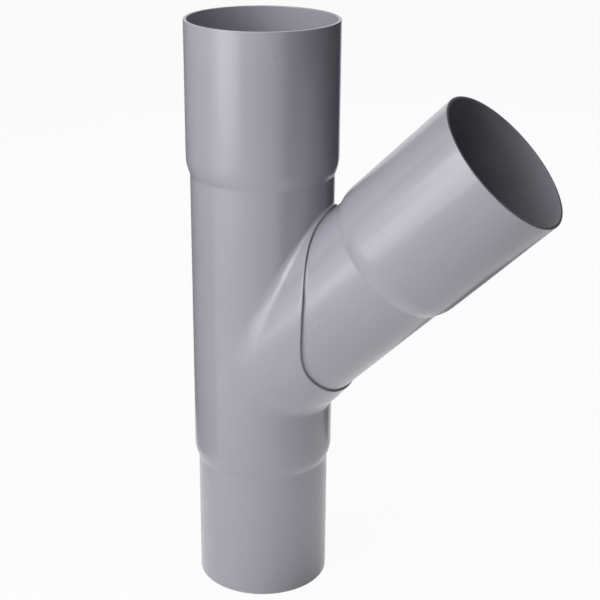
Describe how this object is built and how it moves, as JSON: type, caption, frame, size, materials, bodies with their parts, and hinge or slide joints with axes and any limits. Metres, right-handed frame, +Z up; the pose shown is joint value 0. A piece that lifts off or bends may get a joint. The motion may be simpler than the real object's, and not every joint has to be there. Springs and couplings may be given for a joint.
{
  "type": "branch pipe fitting",
  "caption": "Angled branch for round rainwater pipe: a run with a socket above and a spigot below, and a socketed branch pipe cemented into a collar drawn from the run.",
  "frame": {"origin": "centre of the lower end of the spigot, on the axis of the run", "axes": "+Z up along the run, towards the mouth of its socket; +X towards the branch, which rises at 45 degrees in the XZ plane; the part is the same on both sides of that plane"},
  "size_m": [0.2092, 0.0844, 0.3315],
  "materials": {
    "grey_pvc": "satin light grey rigid PVC"
  },
  "bodies": {
    "root": {"run_pipe": "grey_pvc", "branch_pipe": "grey_pvc"}
  },
  "joints": []
}
